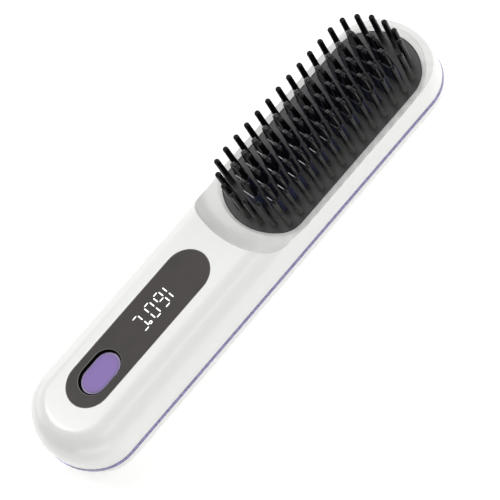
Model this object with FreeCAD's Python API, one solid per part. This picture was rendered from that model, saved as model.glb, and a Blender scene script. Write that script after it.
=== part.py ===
import FreeCAD, Part
import math
import os

# A cordless heated straightening brush, in millimetres.
# X runs from the butt of the handle (-X) to the head (+X), Y across, Z up through the comb.
# The origin is on the rest face, under the middle of the body.

# Housing
body_length = 190.0        # over the trim band
body_width = 42.0          # over the trim band
handle_height = 24.0       # rest face to the top of the handle
parting_height = 9.4       # rest face to the middle of the trim band
butt_blunt = 3.0           # how much shorter the butt end is than a half circle in plan
butt_ease = 2.2            # how much tighter than its own reach it turns out of the sides
head_blunt = 4.0           # the same two for the head end
head_ease = 1.2
shoulder_radius = 9.5      # round from the handle's sides to its flat top
belly_radius = 7.5         # round from the sides to the flat rest face
wall = 2.2                 # housing wall
edge_wall = 2.75           # housing wall across its rounded edges
arc_flat_count = 2         # flats for each arc of the hidden inner walls

# Trim band, and the tongue that locates the front shell on the rear shell
band_height = 1.4
band_proud = 0.2           # the band stands out of the front shell by this much
band_proud_rear = 0.6      # and out of the rear shell by this much
band_depth = 1.4           # band section across the wall
tongue_room = 2.9          # tongue up to the roof of the head
tongue_root = 1.6          # below the band
tongue_thickness = 1.2
tongue_clearance = 0.1

# Step from the handle down to the head
step_edge_x = -4.5         # end of the handle's top on the centre line
step_foot_x = 3.0          # where the hollow ramp meets the rim of the head
step_plan_radius = 44.0    # bow of the step seen from above
tool_margin = 10.0         # how far cutting tools pass the body

# Head rim and face plate
plate_drop = 5.6           # top of the handle down to the face plate
plate_thickness = 1.6
plate_chamfer = 0.25
plate_fit = 0.1            # gap round the face plate
rim_rise = 0.4             # rim above the face plate
rim_side = 2.7             # side of the shell to the face plate
rim_head = 5.35            # head end of the shell to the face plate
plate_butt_x = 4.5         # butt end of the face plate
plate_butt_blunt = 5.9     # how much shorter its butt end is than a half circle in plan
plate_butt_ease = 3.2      # how much tighter than its own reach it turns out of the sides
plate_head_blunt = 3.25    # the same two for its head end
plate_head_ease = 2.35
rim_land = 0.2             # flat crest left outside the rim's bevel, along the sides
rim_land_head = 1.4        # the same at the head end
rim_land_butt = 0.6        # the same at the foot of the ramp
ledge_width = 2.2          # ledge under the face plate
ledge_thickness = 1.2

# Guard pins
pin_height = 15.6
pin_base_radius = 1.12
pin_tip_radius = 0.9
pin_round_height = 0.6     # height of the eased tip
pin_land_radius = 0.5      # top of the eased tip
pin_ring_inset = 3.57      # pin ring, in from the edge of the face plate
pin_end_count = 7          # pins round each end
row_pitch = 5.45
row_margin = 2.6           # first row beyond the butt end's arc
round_sides = 8            # flats on the small round pieces that repeat

# Inner teeth: a metal fin with a cool cap
cap_height = 7.5
cap_base_width = 6.0
cap_top_width = 4.2
cap_corner = 1.3
cap_base_thickness = 2.4
cap_top_thickness = 1.7
cap_edge_corner = 0.6
fin_base_width = 6.0       # fin where it stands on the heater plate
fin_base_thickness = 2.4
fin_tip_width = 4.6        # fin at its top, inside the cap
fin_tip_thickness = 1.45
fin_tongue = 2.2           # part of the fin inside its cap
fin_fit = 0.05             # gap between fin and cap
slot_fit = 0.15            # gap between fin and face plate

# Heater stack under the face plate
heater_inset = 5.5         # heater plate, in from the edge of the face plate
heater_corner = 7.0
heater_thickness = 2.2
element_end = 8.0          # heating element, in from the ends of the heater plate
element_side = 1.6         # and in from its sides
element_space = 4.0        # between the two elements
element_thickness = 2.0
mica_end = 6.2             # insulation sheet, in from the ends of the heater plate
mica_side = 0.1            # and in from its sides
mica_thickness = 0.5
clamp_end = 0.5            # clamp, in from the ends of the heater plate
clamp_side = 2.1           # and in from its sides
clamp_thickness = 1.0
clamp_corner = 3.0
clamp_screw_end = 3.5      # clamp screws, in from the ends of the heater plate
clamp_boss_radius = 2.5
sensor_radius = 1.2
sensor_length = 9.0
fuse_radius = 1.5
fuse_length = 10.0

# Control panel and button
panel_head_gap = 7.6       # end of the handle's top to the panel
panel_butt_gap = 17.1      # butt end of the body to the panel
panel_width = 17.6
panel_thickness = 1.3
panel_fit = 0.1
panel_ledge = 1.6          # ledge of the shell under the panel's edge
button_offset = 6.1        # butt end of the panel to the button
button_length = 15.1
button_width = 9.3
button_recess = 1.0        # panel top down to the button top
button_gap = 0.45
button_chamfer = 0.3
button_flange = 1.0        # flange beyond the button's side
button_flange_height = 0.9
button_seat = 0.05         # gap between flange and panel
button_travel = 0.6
stem_radius = 1.6
bezel_chamfer = 0.5        # lit edge of the panel round the button

# Display, control board and switch
display_head_gap = 12.9    # head end of the panel to the display
display_butt_gap = 7.7     # button to the display
display_width = 11.0
display_height = 5.9
mask_border = 0.6
mask_cover_end = 2.0       # mask over the ends of the display
mask_cover_side = 1.3      # and over its sides
mask_height = 0.4
board_over = 2.1           # board beyond the ends of the panel
board_side_gap = 5.6       # inside of the front shell to the board
board_thickness = 1.2
board_corner = 1.0
board_screw_end = 1.75     # board screws, in from the ends of the board
board_screw_side = 2.5     # and in from its sides
board_boss_radius = 2.2
switch_size = 6.2
switch_height = 3.6
plunger_radius = 1.75
plunger_fit = 0.05
plunger_proud = 0.6        # plunger above the switch body
plunger_depth = 2.0        # plunger inside the switch body
plunger_room = 0.2         # room left under the plunger when it is pressed
connector_length = 7.0
connector_width = 10.0
connector_height = 2.7
lead_radius = 0.7
lead_offset = 3.2          # heater lead from the middle

# Screws
screw_radius = 1.1
screw_hole_gap = 0.15      # clearance in the piece that is held
screw_head_radius = 2.0
screw_head_height = 1.4
screw_grip = 3.0           # length in the boss

# Battery
battery_head_gap = 15.5    # end of the handle's top to the cell
battery_butt_gap = 27.0    # butt end of the body to the cell
battery_height = 7.5
battery_corner = 2.0
battery_side_gap = 0.4     # edge of the flat floor to the cell and its pad
pad_height = 1.0
battery_lead_offset = 5.0  # lead from the cell's middle, and from its butt end

# Charging inlet under the butt end
socket_drop = 3.9          # parting line down to the socket's middle
socket_width = 8.94
socket_height = 3.26
socket_depth = 7.35
socket_wall = 0.3
socket_inset = 2.4         # mouth inside the butt end of the band
socket_hole_gap = 0.2
socket_back = 1.1
tongue_plate_width = 6.7
tongue_plate_height = 0.7
tongue_plate_length = 5.0
charge_length = 15.0
charge_width = 13.0
charge_thickness = 1.0
charge_overhang = 4.4      # socket beyond the board
charge_screw_x = 11.5      # screws from the board's butt edge
charge_screw_spacing = 8.0
charge_post_radius = 2.4

# Heights that follow from the sizes above
band_top = parting_height + band_height / 2
band_bottom = parting_height - band_height / 2
plate_top = handle_height - plate_drop
plate_bottom = plate_top - plate_thickness
rim_top = plate_top + rim_rise
roof_bottom = plate_bottom - ledge_thickness
tip_top = plate_top + pin_height
cap_bottom = tip_top - cap_height
fin_top = cap_bottom + fin_tongue
heater_bottom = plate_bottom - heater_thickness
element_bottom = heater_bottom - element_thickness
mica_bottom = element_bottom - mica_thickness
clamp_bottom = mica_bottom - clamp_thickness
ceiling = handle_height - wall
panel_bottom = handle_height - panel_thickness
board_top = panel_bottom - mask_height - display_height
board_bottom = board_top - board_thickness
switch_top = board_top + switch_height
plunger_top = switch_top + plunger_proud
flange_top = panel_bottom - button_seat
flange_bottom = flange_top - button_flange_height
button_top = handle_height - button_recess
battery_bottom = wall + pad_height
battery_top = battery_bottom + battery_height
socket_middle = parting_height - socket_drop
socket_top = socket_middle + socket_height / 2
charge_top = socket_top + charge_thickness


# Plan places that follow from the sizes above
body_half = body_width / 2
body_butt_x = -body_length / 2
body_head_x = body_length / 2
butt_reach = body_half - butt_blunt
butt_corner = butt_reach - butt_ease
head_reach = body_half - head_blunt
head_corner = head_reach - head_ease
plate_half = body_half - band_proud - rim_side
plate_head_x = body_head_x - band_proud - rim_head
plate_butt_reach = plate_half - plate_butt_blunt
plate_butt_corner = plate_butt_reach - plate_butt_ease
plate_head_reach = plate_half - plate_head_blunt
plate_head_corner = plate_head_reach - plate_head_ease
shoulder_rise = rim_top - (handle_height - shoulder_radius)
crest_inset = shoulder_radius - math.sqrt(shoulder_radius ** 2 - shoulder_rise ** 2)
bevel_side = rim_side - crest_inset - rim_land
bevel_head = rim_head - crest_inset - rim_land_head
bevel_butt = plate_butt_x - step_foot_x - rim_land_butt
panel_head_x = step_edge_x - panel_head_gap
panel_butt_x = body_butt_x + panel_butt_gap
button_butt_x = panel_butt_x + button_offset
button_head_x = button_butt_x + button_length
button_x = (button_butt_x + button_head_x) / 2
display_head_x = panel_head_x - display_head_gap
display_butt_x = button_head_x + display_butt_gap
display_x = (display_butt_x + display_head_x) / 2
display_length = display_head_x - display_butt_x
board_x = (panel_butt_x + panel_head_x) / 2
board_length = panel_head_x - panel_butt_x + 2 * board_over
board_width = 2 * (body_half - band_proud - wall - board_side_gap)
board_screw_spacing_x = board_length - 2 * board_screw_end
board_screw_spacing_y = board_width - 2 * board_screw_side
battery_head_x = step_edge_x - battery_head_gap
battery_butt_x = body_butt_x + battery_butt_gap
battery_x = (battery_butt_x + battery_head_x) / 2
battery_length = battery_head_x - battery_butt_x
battery_width = 2 * (body_half - band_proud_rear - belly_radius - battery_side_gap)
heater_x = (plate_butt_x + plate_head_x) / 2
heater_length = plate_head_x - plate_butt_x - 2 * heater_inset
heater_half = plate_half - heater_inset
element_length = heater_length - 2 * element_end
element_width = heater_half - element_side - element_space / 2
element_offset = element_space / 2 + element_width / 2
clamp_screw_spacing = heater_length - 2 * clamp_screw_end
socket_mouth = body_butt_x + socket_inset
charge_butt_x = socket_mouth + charge_overhang


# Plan forms: half width, then tip x, reach and corner radius of the butt end and of the head end
body_form = (
    body_half,
    (body_butt_x, butt_reach, butt_corner),
    (body_head_x, head_reach, head_corner),
)
plate_form = (
    plate_half,
    (plate_butt_x, plate_butt_reach, plate_butt_corner),
    (plate_head_x, plate_head_reach, plate_head_corner),
)
bevel_form = (
    plate_half + bevel_side,
    (plate_butt_x - bevel_butt, plate_butt_reach + bevel_butt, plate_butt_corner + bevel_butt),
    (plate_head_x + bevel_head, plate_head_reach + bevel_head, plate_head_corner + bevel_side),
)
panel_form = (panel_width / 2, panel_butt_x, panel_head_x)
button_form = (button_width / 2, button_butt_x, button_head_x)


def end_arcs(half, tip, inward, reach, corner, side, z):
    """Three tangent arcs round one end, from one side of the outline to the other."""
    nose = (reach ** 2 + half ** 2 - 2 * half * corner) / (2 * (reach - corner))
    lean_x = (nose - reach) / (nose - corner)
    lean_y = (half - corner) / (nose - corner)
    bend = math.hypot(lean_x, 1 + lean_y)

    def point(run, across):
        return FreeCAD.Vector(tip + inward * run, across, z)

    ways = []
    for y in (side, -side):
        start = point(reach, y * half)
        middle = point(
            reach - corner * lean_x / bend, y * (half - corner + corner * (1 + lean_y) / bend)
        )
        touch = point(nose - nose * lean_x, y * nose * lean_y)
        ways.append((start, middle, touch))
    return [
        Part.Arc(*ways[0]).toShape(),
        Part.Arc(ways[0][2], point(0, 0), ways[1][2]).toShape(),
        Part.Arc(ways[1][2], ways[1][1], ways[1][0]).toShape(),
    ]


def outline(form, inset, z):
    """Closed plan outline with two straight sides and two rounded ends, set in by inset."""
    half = form[0] - inset
    butt, butt_run, butt_round = form[1]
    head, head_run, head_round = form[2]
    butt_start = butt + butt_run
    head_start = head - head_run
    butt_end = (butt + inset, 1, butt_run - inset, butt_round - inset)
    head_end = (head - inset, -1, head_run - inset, head_round - inset)
    near = Part.makeLine(
        FreeCAD.Vector(butt_start, -half, z), FreeCAD.Vector(head_start, -half, z)
    )
    far = Part.makeLine(FreeCAD.Vector(head_start, half, z), FreeCAD.Vector(butt_start, half, z))
    head_edges = end_arcs(half, *head_end, -1, z)
    butt_edges = end_arcs(half, *butt_end, 1, z)
    return Part.Wire([near] + head_edges + [far] + butt_edges)


def stadium(form, inset, z):
    """Closed plan outline with two straight sides and two half-round ends, set in by inset."""
    half, butt, head = form
    butt_start = butt + half
    head_start = head - half
    half = half - inset
    corners = [
        FreeCAD.Vector(butt_start, -half, z),
        FreeCAD.Vector(head_start, -half, z),
        FreeCAD.Vector(head_start, half, z),
        FreeCAD.Vector(butt_start, half, z),
    ]
    return Part.Wire(
        [
            Part.makeLine(corners[0], corners[1]),
            Part.Arc(corners[1], FreeCAD.Vector(head_start + half, 0, z), corners[2]).toShape(),
            Part.makeLine(corners[2], corners[3]),
            Part.Arc(corners[3], FreeCAD.Vector(butt_start - half, 0, z), corners[0]).toShape(),
        ]
    )


def raised(wire, height):
    """A flat outline raised straight up."""
    return Part.Face(wire).extrude(FreeCAD.Vector(0, 0, height))


def prism(form, inset, low, high):
    """A rounded plan form between two heights."""
    return raised(outline(form, inset, low), high - low)


def slot_prism(form, inset, low, high):
    """A stadium plan form between two heights."""
    return raised(stadium(form, inset, low), high - low)


def edges_at(body, height):
    """The edges of a prism that lie at a height."""
    return [
        edge
        for edge in body.Edges
        if all(abs(vertex.Z - height) < wall / 2 for vertex in edge.Vertexes)
    ]


def cushion(inset, low, high, rounded, radius):
    """The body's plan form between two heights, with the edge at one of them rounded."""
    body = prism(body_form, inset, low, high)
    return body.makeFillet(radius, edges_at(body, rounded))


def inner_prism(inset, low, high):
    """The body's plan form between two heights, with flats in place of arcs, for hidden walls."""
    points = []
    for edge in outline(body_form, inset, low).OrderedEdges:
        stops = arc_flat_count + 1 if edge.Curve.TypeId == "Part::GeomCircle" else 2
        points += edge.discretize(Number=stops)[:-1]
    return raised(Part.makePolygon(points + points[:1]), high - low)


def hollow(inset, low, high, eased, radius):
    """The space inside a cushion: its edge is flattened where the cushion's is rounded."""
    body = inner_prism(inset, low, high)
    chamfer = 2 * (radius - wall) - (radius - edge_wall) * math.sqrt(2)
    return body.makeChamfer(chamfer, edges_at(body, eased))


def cylinder(x, y, low, high, radius):
    """An upright cylinder between two heights."""
    return Part.makeCylinder(radius, high - low, FreeCAD.Vector(x, y, low))


def block(x, y, length, width, low, high):
    """A box centred in plan between two heights."""
    corner = FreeCAD.Vector(x - length / 2, y - width / 2, low)
    return Part.makeBox(length, width, high - low, corner)


def eased_block(x, y, length, width, low, high, corner):
    """A box with its four upright edges cut off."""
    body = block(x, y, length, width, low, high)
    upright = [edge for edge in body.Edges if edge.BoundBox.ZLength > edge.Length / 2]
    return body.makeChamfer(corner, upright)


def flat_sided(loops):
    """A solid with flat sides through loops of points, one above the other."""
    ends = [loops[0], loops[-1]]
    faces = [Part.Face(Part.makePolygon(loop + loop[:1])) for loop in ends]
    for low, high in zip(loops, loops[1:]):
        for i in range(len(low)):
            j = (i + 1) % len(low)
            flat = [low[i], low[j], high[j], high[i], low[i]]
            faces.append(Part.Face(Part.makePolygon(flat)))
    solid = Part.Solid(Part.Shell(faces))
    if solid.Volume < 0:
        solid.reverse()
    return solid


def turned(x, y, rings):
    """A small turned piece through (radius, height) rings, with flats for its round sides."""
    loops = []
    for radius, height in rings:
        angles = [2 * math.pi * i / round_sides for i in range(round_sides)]
        loops.append(
            [
                FreeCAD.Vector(x + radius * math.cos(a), y + radius * math.sin(a), height)
                for a in angles
            ]
        )
    return flat_sided(loops)


def rod(x, y, low, high, radius):
    """A plain turned piece."""
    return turned(x, y, [(radius, low), (radius, high)])


def lying(length, radius, start):
    """A plain turned piece that lies along X from its start."""
    body = rod(0, 0, 0, length, radius)
    body.rotate(FreeCAD.Vector(), FreeCAD.Vector(0, 1, 0), 90)
    body.translate(start)
    return body


def pair(x, spacing):
    """Two places along X on the centre line."""
    return [(x - spacing / 2, 0), (x + spacing / 2, 0)]


def corners_of(x, spacing_x, spacing_y):
    """The four corners of a rectangle on the centre line."""
    return [(x + i * spacing_x / 2, j * spacing_y / 2) for i in (-1, 1) for j in (-1, 1)]


def export(name, solids):
    """Write one node, a solid or a group of separate solids."""
    shape = solids[0] if len(solids) == 1 else Part.makeCompound(solids)
    shape.exportStep("parts/" + name + ".step")
    print(name, len(shape.Solids), round(shape.Volume, 2), shape.isValid())


# Housing


def step_tool():
    """What is taken off above the head: a floor with a hollow ramp up to the handle."""
    axis_x = step_edge_x + step_plan_radius
    foot = axis_x - step_foot_x
    run = step_plan_radius - foot
    rise = handle_height - rim_top
    radius = (run * run + rise * rise) / (2 * rise)
    half_turn = math.atan2(rise, run)
    over = handle_height + tool_margin
    centre = FreeCAD.Vector(0, 0, rim_top)
    low_foot = FreeCAD.Vector(foot, 0, rim_top)
    middle = FreeCAD.Vector(
        foot + radius * math.sin(half_turn), 0, rim_top + radius * (1 - math.cos(half_turn))
    )
    lip = FreeCAD.Vector(step_plan_radius, 0, handle_height)
    lip_over = FreeCAD.Vector(step_plan_radius, 0, over)
    centre_over = FreeCAD.Vector(0, 0, over)
    profile = Part.Wire(
        [
            Part.makeLine(centre, low_foot),
            Part.Arc(low_foot, middle, lip).toShape(),
            Part.makeLine(lip, lip_over),
            Part.makeLine(lip_over, centre_over),
            Part.makeLine(centre_over, centre),
        ]
    )
    bowl = Part.Face(profile).revolve(FreeCAD.Vector(), FreeCAD.Vector(0, 0, 1), 360)
    bowl.translate(FreeCAD.Vector(axis_x, 0, 0))
    run_out = body_head_x + tool_margin - axis_x
    width = body_width + tool_margin
    return bowl.fuse(block(axis_x + run_out / 2, 0, run_out, width, rim_top, over))


def front_shell():
    """Upper housing: handle top, ramp, head rim, panel recess and board bosses."""
    inside = band_proud + wall
    outer = cushion(band_proud, band_top, handle_height, handle_height, shoulder_radius)
    outer = outer.cut(step_tool())
    inner = hollow(inside, band_top, ceiling, ceiling, shoulder_radius)
    step_x = step_edge_x + step_plan_radius
    over_head = body_head_x - step_x
    head_block = block(step_x + over_head / 2, 0, over_head, body_width, roof_bottom, ceiling)
    inner = inner.cut(cylinder(step_x, 0, roof_bottom, ceiling, step_plan_radius + wall))
    shell = outer.cut(inner.cut(head_block))
    head_recess = Part.makeLoft(
        [
            outline(plate_form, 0, plate_bottom),
            outline(plate_form, 0, plate_top),
            outline(bevel_form, 0, rim_top),
            outline(bevel_form, 0, rim_top + rim_rise),
        ],
        True,
        True,
    )
    head_opening = prism(plate_form, ledge_width, roof_bottom, plate_top)
    panel_recess = slot_prism(panel_form, 0, panel_bottom, handle_height)
    panel_opening = slot_prism(panel_form, panel_ledge, ceiling, handle_height)
    for cut in (head_recess, head_opening, panel_recess, panel_opening):
        shell = shell.cut(cut)
    boss_top = ceiling + wall / 2
    for x, y in corners_of(board_x, board_screw_spacing_x, board_screw_spacing_y):
        shell = shell.fuse(rod(x, y, board_top, boss_top, board_boss_radius))
        shell = shell.cut(rod(x, y, board_top, board_top + screw_grip, screw_radius))
    return shell.removeSplitter()


def rear_shell():
    """Lower housing: belly, tongue, inlet slot and posts of the charging board."""
    inside = band_proud_rear + wall
    outer = cushion(band_proud_rear, 0, band_bottom, 0, belly_radius)
    shell = outer.cut(hollow(inside, wall, band_bottom, wall, belly_radius))
    tongue_low = band_bottom - tongue_root
    tongue_top = roof_bottom - tongue_room
    tongue_side = band_proud + wall + tongue_clearance
    tongue = inner_prism(tongue_side, tongue_low, tongue_top)
    tongue_space = inner_prism(tongue_side + tongue_thickness, tongue_low, tongue_top)
    shell = shell.fuse(tongue.cut(tongue_space))
    for x, y in charge_screws_at():
        shell = shell.fuse(rod(x, y, wall / 2, socket_top, charge_post_radius))
        shell = shell.cut(rod(x, y, socket_top - screw_grip, socket_top, screw_radius))
    slot = inlet_slot(socket_hole_gap, socket_mouth - tool_margin, socket_mouth + socket_depth)
    return shell.cut(slot).removeSplitter()


def trim_band():
    """Lilac ring held between the two shells."""
    ring = prism(body_form, 0, band_bottom, band_top)
    return ring.cut(prism(body_form, band_depth, band_bottom, band_top))


# Control panel, button, display and board


def control_panel():
    """Smoked lens with a bevelled opening for the button."""
    lens = slot_prism(panel_form, panel_fit, panel_bottom, handle_height)
    opening = Part.makeLoft(
        [
            stadium(button_form, -button_gap, panel_bottom),
            stadium(button_form, -button_gap, handle_height - bezel_chamfer),
            stadium(button_form, -button_gap - bezel_chamfer, handle_height),
        ],
        True,
        True,
    )
    return lens.cut(opening)


def power_button():
    """Button with a flange that stops under the lens and a stem onto the switch."""
    cap = Part.makeLoft(
        [
            stadium(button_form, 0, flange_bottom),
            stadium(button_form, 0, button_top - button_chamfer),
            stadium(button_form, button_chamfer, button_top),
        ],
        True,
        True,
    )
    length = button_length + 2 * button_flange
    width = button_width + 2 * button_flange
    flange = block(button_x, 0, length, width, flange_bottom, flange_top)
    stem = rod(button_x, 0, plunger_top, flange_bottom, stem_radius)
    return cap.fuse(flange).fuse(stem).removeSplitter()


def switch_body():
    """Tactile switch with the hole for its plunger."""
    body = block(button_x, 0, switch_size, switch_size, board_top, switch_top)
    hole_bottom = switch_top - plunger_depth - button_travel - plunger_room
    hole = rod(button_x, 0, hole_bottom, switch_top, plunger_radius + plunger_fit)
    return body.cut(hole)


def switch_plunger():
    """Moving plunger of the switch."""
    return rod(button_x, 0, switch_top - plunger_depth, plunger_top, plunger_radius)


def display_module():
    """Segment display block on the board."""
    top = board_top + display_height
    return block(display_x, 0, display_length, display_width, board_top, top)


def display_mask():
    """Frame between display and lens that keeps stray light in."""
    low = board_top + display_height
    length = display_length + 2 * mask_border
    width = display_width + 2 * mask_border
    window_length = display_length - 2 * mask_cover_end
    window_width = display_width - 2 * mask_cover_side
    frame = block(display_x, 0, length, width, low, panel_bottom)
    return frame.cut(
        block(display_x, 0, window_length, window_width, low, panel_bottom)
    )


def main_board():
    """Control board, screwed to the bosses of the front shell."""
    board = eased_block(
        board_x, 0, board_length, board_width, board_bottom, board_top, board_corner
    )
    for x, y in corners_of(board_x, board_screw_spacing_x, board_screw_spacing_y):
        board = board.cut(rod(x, y, board_bottom, board_top, screw_radius + screw_hole_gap))
    return board


def board_screws():
    """Screws up through the board."""
    return [
        screw(x, y, board_bottom, board_top + screw_grip)
        for x, y in corners_of(board_x, board_screw_spacing_x, board_screw_spacing_y)
    ]


def screw(x, y, seat, tip):
    """A screw from the seat of its head to its tip, pointing up or down."""
    top = seat - screw_head_height if tip > seat else seat + screw_head_height
    return turned(
        x,
        y,
        [
            (screw_head_radius, top),
            (screw_head_radius, seat),
            (screw_radius, seat),
            (screw_radius, tip),
        ],
    )


def heater_connector():
    """Wire connector under the head end of the board."""
    x = board_x + board_length / 2 - connector_length / 2
    return block(
        x, 0, connector_length, connector_width, board_bottom - connector_height, board_bottom
    )


def heater_leads():
    """Two wires from the connector to the heating elements."""
    start = board_x + board_length / 2
    length = heater_x - element_length / 2 - start
    height = element_bottom + element_thickness / 2
    return [
        lying(length, lead_radius, FreeCAD.Vector(start, y, height))
        for y in (-lead_offset, lead_offset)
    ]


# Battery and charging inlet


def battery_pack():
    """Flat lithium cell on its pad."""
    return eased_block(
        battery_x, 0, battery_length, battery_width, battery_bottom, battery_top, battery_corner
    )


def battery_pad():
    """Foam pad between the cell and the floor of the rear shell."""
    return block(battery_x, 0, battery_length, battery_width, wall, battery_bottom)


def battery_leads():
    """Two wires from the cell up to the board."""
    x = battery_butt_x + battery_lead_offset
    return [
        rod(x, y, battery_top, board_bottom, lead_radius)
        for y in (-battery_lead_offset, battery_lead_offset)
    ]


def inlet_slot(gap, start, end):
    """A slot along X, as large as the socket grown by gap, with flats for its round ends."""
    radius = socket_height / 2 + gap
    centre = (socket_width - socket_height) / 2
    half_sides = round_sides // 2
    points = []
    for side in (1, -1):
        for i in range(half_sides + 1):
            angle = math.pi * (i / half_sides - side / 2)
            points.append(
                FreeCAD.Vector(
                    start,
                    side * centre + radius * math.cos(angle),
                    socket_middle + radius * math.sin(angle),
                )
            )
    face = Part.Face(Part.makePolygon(points + points[:1]))
    return face.extrude(FreeCAD.Vector(end - start, 0, 0))


def usb_socket():
    """Metal shell of the charging inlet, closed at the back."""
    shell = inlet_slot(0, socket_mouth, socket_mouth + socket_depth)
    hollow = inlet_slot(-socket_wall, socket_mouth, socket_mouth + socket_depth - socket_back)
    return shell.cut(hollow)


def usb_tongue():
    """Contact tongue that stands on the back of the socket."""
    back = socket_mouth + socket_depth - socket_back
    return block(
        back - tongue_plate_length / 2,
        0,
        tongue_plate_length,
        tongue_plate_width,
        socket_middle - tongue_plate_height / 2,
        socket_middle + tongue_plate_height / 2,
    )


def charge_screws_at():
    """Places of the charging board's two screws."""
    x = charge_butt_x + charge_screw_x
    return [(x, -charge_screw_spacing / 2), (x, charge_screw_spacing / 2)]


def charge_board():
    """Small board that carries the socket on its underside."""
    x = charge_butt_x + charge_length / 2
    board = block(x, 0, charge_length, charge_width, socket_top, charge_top)
    for x, y in charge_screws_at():
        board = board.cut(rod(x, y, socket_top, charge_top, screw_radius + screw_hole_gap))
    return board


def charge_screws():
    """Screws down through the charging board into the posts."""
    return [screw(x, y, charge_top, socket_top - screw_grip) for x, y in charge_screws_at()]


# Comb head


def row_places():
    """X of the straight rows, as many as fit between the two ends."""
    first = plate_butt_x + plate_butt_reach + row_margin
    room = plate_head_x - plate_head_reach - first
    return [first + i * row_pitch for i in range(int(room / row_pitch) + 1)]


def pin_places():
    """Plan places of the guard pins: two straight rows, then evenly round the two ends."""
    half = plate_half - pin_ring_inset
    rows = row_places()
    places = [(x, y) for x in rows for y in (-half, half)]
    ends = [
        (rows[0], plate_butt_x + pin_ring_inset, 1, plate_butt_reach, plate_butt_corner),
        (rows[-1], plate_head_x - pin_ring_inset, -1, plate_head_reach, plate_head_corner),
    ]
    for row, tip, inward, reach, corner in ends:
        arcs = end_arcs(
            half, tip, inward, reach - pin_ring_inset, corner - pin_ring_inset, 1, 0
        )
        run_in = Part.makeLine(FreeCAD.Vector(row, half, 0), arcs[0].Vertexes[0].Point)
        run_out = Part.makeLine(arcs[-1].Vertexes[-1].Point, FreeCAD.Vector(row, -half, 0))
        path = Part.Wire([run_in] + arcs + [run_out])
        round_end = path.discretize(Number=pin_end_count + 2)[1:-1]
        places += [(point.x, point.y) for point in round_end]
    return places


def tooth_places():
    """Plan places of the teeth: a middle column and two side columns half a pitch on."""
    rows = row_places()
    column = (plate_half - pin_ring_inset) / 2
    first = rows[0] - row_pitch
    middle = [(first + i * row_pitch, 0) for i in range(len(rows) + 2)]
    side = [
        (first + row_pitch / 2 + i * row_pitch, y)
        for i in range(len(rows) + 1)
        for y in (-column, column)
    ]
    return middle + side


def at_places(master, places):
    """Copies of one upright master solid at plan places."""
    copies = []
    for x, y in places:
        copy = master.copy()
        copy.translate(FreeCAD.Vector(x, y, 0))
        copies.append(copy)
    return copies


def guard_pins():
    """Thin tapered pins with eased tips, standing on the face plate."""
    pin = turned(
        0,
        0,
        [
            (pin_base_radius, plate_top),
            (pin_tip_radius, tip_top - pin_round_height),
            (pin_land_radius, tip_top),
        ],
    )
    return at_places(pin, pin_places())


def tooth_side(base, top, corner, axis, depth):
    """A bar along one axis whose end view is an upright tooth with eased top corners."""
    across = FreeCAD.Vector(0, 0, 1).cross(axis)
    rise = [
        (base / 2, cap_bottom),
        (top / 2, tip_top - corner),
        (top / 2 - corner, tip_top),
    ]
    ring = rise + [(-offset, height) for offset, height in reversed(rise)]
    points = [
        across * offset + FreeCAD.Vector(0, 0, height) - axis * (depth / 2)
        for offset, height in ring
    ]
    return Part.Face(Part.makePolygon(points + points[:1])).extrude(axis * depth)


def fin_corners(gap, height):
    """Corners of a fin at one height, grown by gap on its four sides."""
    share = (height - plate_bottom) / (fin_top - plate_bottom)
    thick = fin_base_thickness + share * (fin_tip_thickness - fin_base_thickness)
    wide = fin_base_width + share * (fin_tip_width - fin_base_width)
    half_x = thick / 2 + gap
    half_y = wide / 2 + gap
    corners = [(half_x, half_y), (-half_x, half_y), (-half_x, -half_y), (half_x, -half_y)]
    return [FreeCAD.Vector(x, y, height) for x, y in corners]


def fin_solid(gap, low, high):
    """The tapered blade of one fin, grown by gap on its four sides."""
    return flat_sided([fin_corners(gap, low), fin_corners(gap, high)])


def tooth_caps():
    """Cool caps: a side view crossed with an edge view, with a socket for the fin."""
    along = FreeCAD.Vector(1, 0, 0)
    across = FreeCAD.Vector(0, 1, 0)
    side = tooth_side(cap_base_width, cap_top_width, cap_corner, along, cap_base_thickness)
    edge = tooth_side(
        cap_base_thickness, cap_top_thickness, cap_edge_corner, across, cap_base_width
    )
    socket = fin_solid(fin_fit, cap_bottom, fin_top + fin_fit)
    return at_places(side.common(edge).cut(socket), tooth_places())


def heating_fins():
    """Metal blades from the heater plate up into the caps."""
    return at_places(fin_solid(0, plate_bottom, fin_top), tooth_places())


def face_plate():
    """Dark plate of the head, slotted for the fins."""
    plate = Part.makeLoft(
        [
            outline(plate_form, plate_fit, plate_bottom),
            outline(plate_form, plate_fit, plate_top - plate_chamfer),
            outline(plate_form, plate_fit + plate_chamfer, plate_top),
        ],
        True,
        True,
    )
    slots = at_places(fin_solid(slot_fit, plate_bottom, plate_top), tooth_places())
    return plate.cut(Part.makeCompound(slots))


def heater_plate():
    """Metal base of the fins with two screw bosses on its underside."""
    plate = eased_block(
        heater_x, 0, heater_length, 2 * heater_half, heater_bottom, plate_bottom, heater_corner
    )
    for x, y in pair(heater_x, clamp_screw_spacing):
        plate = plate.fuse(rod(x, y, mica_bottom, heater_bottom, clamp_boss_radius))
        plate = plate.cut(rod(x, y, mica_bottom, mica_bottom + screw_grip, screw_radius))
    return plate.removeSplitter()


def heating_elements():
    """Two flat heater strips under the plate."""
    return [
        block(heater_x, y, element_length, element_width, element_bottom, heater_bottom)
        for y in (-element_offset, element_offset)
    ]


def insulation_sheet():
    """Mica sheet between strips and clamp."""
    length = heater_length - 2 * mica_end
    width = 2 * (heater_half - mica_side)
    return block(heater_x, 0, length, width, mica_bottom, element_bottom)


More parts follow.
